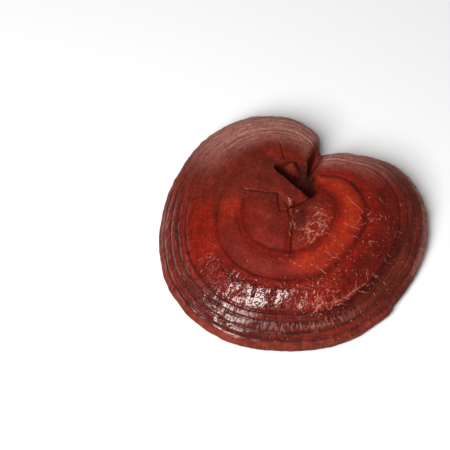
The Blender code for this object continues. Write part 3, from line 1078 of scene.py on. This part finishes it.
        # Painted shade in the pit: near-black in the crinkles' grooves, and deepest down and under the
        # plate's edge.
        lay(in_pit * crinkle.span(0.38, 0.58, 0.42, 0.0), self.crack)
        lay(pit * 0.8, self.crack)

        # The pore surface.
        pore_shade = graph.noise(place, 0.08, 4.0, 0.6).span(0.35, 0.7)
        pore_shade = graph.largest(pore_shade, zone.span(1.06, 1.2, 1.0, 0.0))
        lay(below, graph.mix(pore_shade * 0.8, self.pores, self.pores_dark))

        # The varnish shines on the outer zones at the front, but for their marks, and dully on the sector.
        inner = zone.span(0.545, 0.575, 1.0, 0.0) * (1.0 - sector * 0.35)
        right_front = facing(0.8, -0.6).span(-0.1, 0.45) * zone.span(0.74, 0.79)
        dull = graph.largest(lobe * 0.96, inner, browned, zone.span(0.968, 0.985), right_front * 0.9)
        dull = graph.largest(dull, back.span(0.0, 0.45), below, pit)
        gloss = (1.0 - dull) * (1.0 - fleck) * (1.0 - groove * 0.9) * (in_bands * 0.2 + 0.8)

        # Small relief in millimetres, and the tubes of the pore surface.
        calm = 1.0 - wrinkled * 0.8
        height = (
            (wrinkle - 0.5) * wrinkled * (0.25 - patch * 0.13) * (1.0 - in_bands * 0.45)
            - groove * 0.035
            + (fibres - 0.5) * outer * (1.0 - wrinkled) * 0.05
            + (rings - 0.5) * zone.span(0.72, 0.84) * 0.12
            + striae * back_rim * 0.08
            + (mottle - 0.5) * (1.0 - ring * 0.85) * calm * 0.12
            + (grain - 0.5) * (1.0 - ring * 0.7) * calm * 0.07
            + (crinkle - 0.5) * graph.largest(sector * 0.8, in_pit * 0.65)
            + (thread_and_glint + fleck) * 0.05
            - crack * 0.35
        )
        flat = graph.vector("MULTIPLY", place, (1.0, 1.0, 0.0))
        tubes = graph.wire("ShaderNodeTexVoronoi", {}, {"Vector": flat, "Scale": 1.8}).span(0.15, 0.55)
        height = height * (1.0 - below) + tubes * below * 0.1
        return self.varnished(graph, colour, graph.bump(height), gloss)

    def varnished(self, graph: Graph, colour: Wire, normal: Wire, gloss: Wire) -> bpy.types.Material:
        """Lays a shining varnish over the material's own matte shader.

        Args:
            graph: the material's graph.
            colour: the skin's colour.
            normal: its normal.
            gloss: 1 where the varnish shines, 0 where it is dull.

        Returns:
            The material.
        """
        both = {"Base Color": colour, "Normal": normal}
        shine = {"IOR": 1.68, "Roughness": 0.13, "Specular Tint": self.varnish_tint}
        varnish = graph.wire("ShaderNodeBsdfPrincipled", {}, {**both, **shine})
        graph.feed_shader({**both, "Roughness": 0.6, "Specular IOR Level": 0.1})
        matte = Wire(graph, graph.shader.outputs[0])
        mixed = graph.wire("ShaderNodeMixShader", {}, {0: gloss, 1: matte, 2: varnish})
        graph.feed(graph.tree.nodes["Material Output"].inputs["Surface"], mixed)
        return graph.material

    def mark(self, graph: Graph, lines: str, wobble: Wire, half_width: float) -> Wire:
        """1 along the lines of one of the mesh's layers, 0 away from them.

        Args:
            graph: the material's graph.
            lines: the layer, with the way to the nearest line and the distance.
            wobble: a small random shift in millimetres.
            half_width: half the line's width in millimetres.

        Returns:
            The mark.
        """
        x, y, distance = graph.split(graph.attribute(lines))
        x = x + wobble
        y = y - wobble
        near = graph.math("SQRT", x * x + y * y)
        return near.span(0.3 * half_width, half_width, 1.0, 0.0) * distance.span(0.8, 1.2, 1.0, 0.0)

    def flecks(self, graph: Graph, place: Wire, growth: Wire, zone: Wire) -> Wire:
        """Small pale flecks and short threads of dust, thickest on the front right of the outer zones.

        Args:
            graph: the material's graph.
            place: the place in millimetres.
            growth: the direction from the hub, and the zone.
            zone: share of the way from hub to rim.

        Returns:
            1 on a fleck, 0 off it.
        """
        front_right = graph.dot(growth, (0.6, -0.8, 0.0)).span(0.3, 0.95, 0.2, 1.0)
        dusty = zone.band(0.3, 0.45, 0.97, 1.0) * front_right
        found = []
        for turn, along, across, size in self.fleck_layers:
            where = graph.turned(place, turn, along, across)
            cells = graph.node("ShaderNodeTexVoronoi", {}, {"Vector": where, "Scale": 1.0})
            near = Wire(graph, cells.outputs["Distance"]).span(0.35 * size, size, 1.0, 0.0)
            pick, _, _ = graph.split(Wire(graph, cells.outputs["Color"]))
            found.append(near * (pick * dusty).span(0.2, 0.46))
        return graph.largest(*found)


@dataclass(frozen=True)
class StemFinish:
    """Dark bark round the stem and a pale fibrous cut below. Colours are linear."""

    bark: Colour = (0.055, 0.012, 0.008)
    bark_light: Colour = (0.13, 0.026, 0.015)
    flesh: Colour = (0.42, 0.27, 0.15)
    flesh_dark: Colour = (0.2, 0.105, 0.05)

    def make(self) -> bpy.types.Material:
        """Builds the stem's material."""
        graph = Graph("reishi_stem")
        place = graph.place()
        _, _, up = graph.split(place)
        cut = up.span(0.15, 0.45, 1.0, 0.0)
        grain = graph.noise(graph.vector("MULTIPLY", place, (1.0, 1.0, 0.25)), 0.9, 4.0, 0.6)
        fibres = graph.noise(place, 2.2, 4.0, 0.7)
        bark = graph.mix(grain.span(0.35, 0.7), self.bark, self.bark_light)
        flesh = graph.mix(fibres.span(0.35, 0.7), self.flesh, self.flesh_dark)
        sockets = {
            "Base Color": graph.mix(cut, bark, flesh),
            "Roughness": cut.span(0.0, 1.0, 0.42, 0.9),
            "Coat Weight": (1.0 - cut) * 0.6,
            "Coat Roughness": 0.2,
            "Normal": graph.bump((grain - 0.5) * 0.35 + (fibres - 0.5) * 0.15),
        }
        graph.feed_shader(sockets)
        return graph.material


@dataclass(frozen=True)
class Softbox:
    """A rectangular studio light, with its direction and distance from the mushroom, in metres."""

    name: str
    direction: tuple[float, float, float]
    distance: float
    width: float
    depth: float
    power: float
    colour: tuple[float, float, float] = (1.0, 1.0, 1.0)
    turn: float = 0.0

    def hang(self, target: Vector) -> None:
        """Puts the light in the scene, facing the target."""
        data = bpy.data.lights.new(self.name, "AREA")
        data.shape = "RECTANGLE"
        data.size = self.width
        data.size_y = self.depth
        data.energy = self.power
        data.color = self.colour
        lamp = add_object(self.name, data)
        away = Vector(self.direction).normalized()
        lamp.location = target + away * self.distance
        turned = away.to_track_quat("Z", "Y") @ Quaternion((0.0, 0.0, 1.0), math.radians(self.turn))
        lamp.rotation_euler = turned.to_euler()


@dataclass(frozen=True)
class Studio:
    """The plain floor, the soft lights and the camera at the photograph's angle."""

    elevation: float = 63.0
    distance: float = 0.945
    image_width: float = 450.0
    mm_per_pixel: float = 0.56
    sensor_mm: float = 36.0
    hub_pixel: Point = (288.0, 207.0)
    floor_colour: Colour = (0.94, 0.94, 0.94)
    room_light: float = 0.06
    softboxes: tuple[Softbox, ...] = (
        Softbox("key_softbox", (-0.34, -0.53, 0.77), 1.1, 0.4, 0.92, 18.6, turn=-13.0),
        Softbox("back_strip", (0.05, 0.93, 0.36), 1.3, 1.6, 0.35, 3.0, (1.0, 0.96, 0.94)),
    )

    def add_floor(self) -> None:
        """A plain pale floor at the height that the mushroom rests on."""
        mesh = bmesh.new()
        bmesh.ops.create_grid(mesh, x_segments=1, y_segments=1, size=3.0)
        data = bpy.data.meshes.new("floor")
        mesh.to_mesh(data)
        mesh.free()
        graph = Graph("floor")
        graph.feed_shader({"Base Color": self.floor_colour, "Roughness": 0.9, "Specular IOR Level": 0.1})
        data.materials.append(graph.material)
        floor = add_object("floor", data)

    def add_room(self) -> None:
        """Plain white light from all round."""
        world = bpy.data.worlds.new("room")
        world.use_nodes = True
        background = world.node_tree.nodes["Background"]
        background.inputs["Color"].default_value = (1.0, 1.0, 1.0, 1.0)
        background.inputs["Strength"].default_value = self.room_light
        bpy.context.scene.world = world

    def add_camera(self, hub: Vector) -> None:
        """A long lens, aimed so that the hub falls where the photograph has it.

        Args:
            hub: the top of the hub, in metres.
        """
        lean = math.radians(self.elevation)
        up = Vector((0.0, math.sin(lean), math.cos(lean)))
        back = Vector((0.0, -math.cos(lean), math.sin(lean)))
        middle = self.image_width / 2.0
        metres = self.mm_per_pixel * MM
        right_of_hub = (middle - self.hub_pixel[0]) * metres
        over_hub = (self.hub_pixel[1] - middle) * metres
        data = bpy.data.cameras.new("camera")
        data.sensor_width = self.sensor_mm
        data.lens = self.sensor_mm * self.distance / (self.image_width * metres)
        data.clip_start = 0.01
        camera = add_object("camera", data)
        camera.location = hub + Vector((right_of_hub, 0.0, 0.0)) + up * over_hub + back * self.distance
        camera.rotation_euler = back.to_track_quat("Z", "Y").to_euler()
        bpy.context.scene.camera = camera

    def build(self, hub: Vector) -> None:
        """Sets the whole studio up around the mushroom."""
        self.add_floor()
        self.add_room()
        for softbox in self.softboxes:
            softbox.hang(hub)
        self.add_camera(hub)
        bpy.context.scene.view_settings.view_transform = "Standard"


def main() -> None:
    """Builds the cap, the stem and the studio, and reports each piece."""
    logging.basicConfig(level=logging.INFO, format="%(message)s")
    form = CapForm()
    around, steps = ((540, 150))

    cap_mesh = CapMesh(form, SkinDetail(), around, steps).build()
    LOG.info("cap: %d faces", len(cap_mesh.faces))
    hub = (form.hub_x, form.hub_y)
    cap = finish_piece("reishi_cap", cap_mesh, hub, SkinFinish().make(form))
    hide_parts("cap")
    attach(cap, "root")

    stem_form = StemForm()
    stem_mesh = StemMesh(stem_form).build()
    LOG.info("stem: %d faces", len(stem_mesh.faces))
    stem_middle = (form.hub_x + stem_form.x, form.hub_y + stem_form.y)
    stem = finish_piece("reishi_stem", stem_mesh, stem_middle, StemFinish().make())
    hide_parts("stem")
    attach(stem, "root")

    Studio().build(Vector((form.hub_x, form.hub_y, form.hub_height)) * MM)


if __name__ == "__main__":
    main()
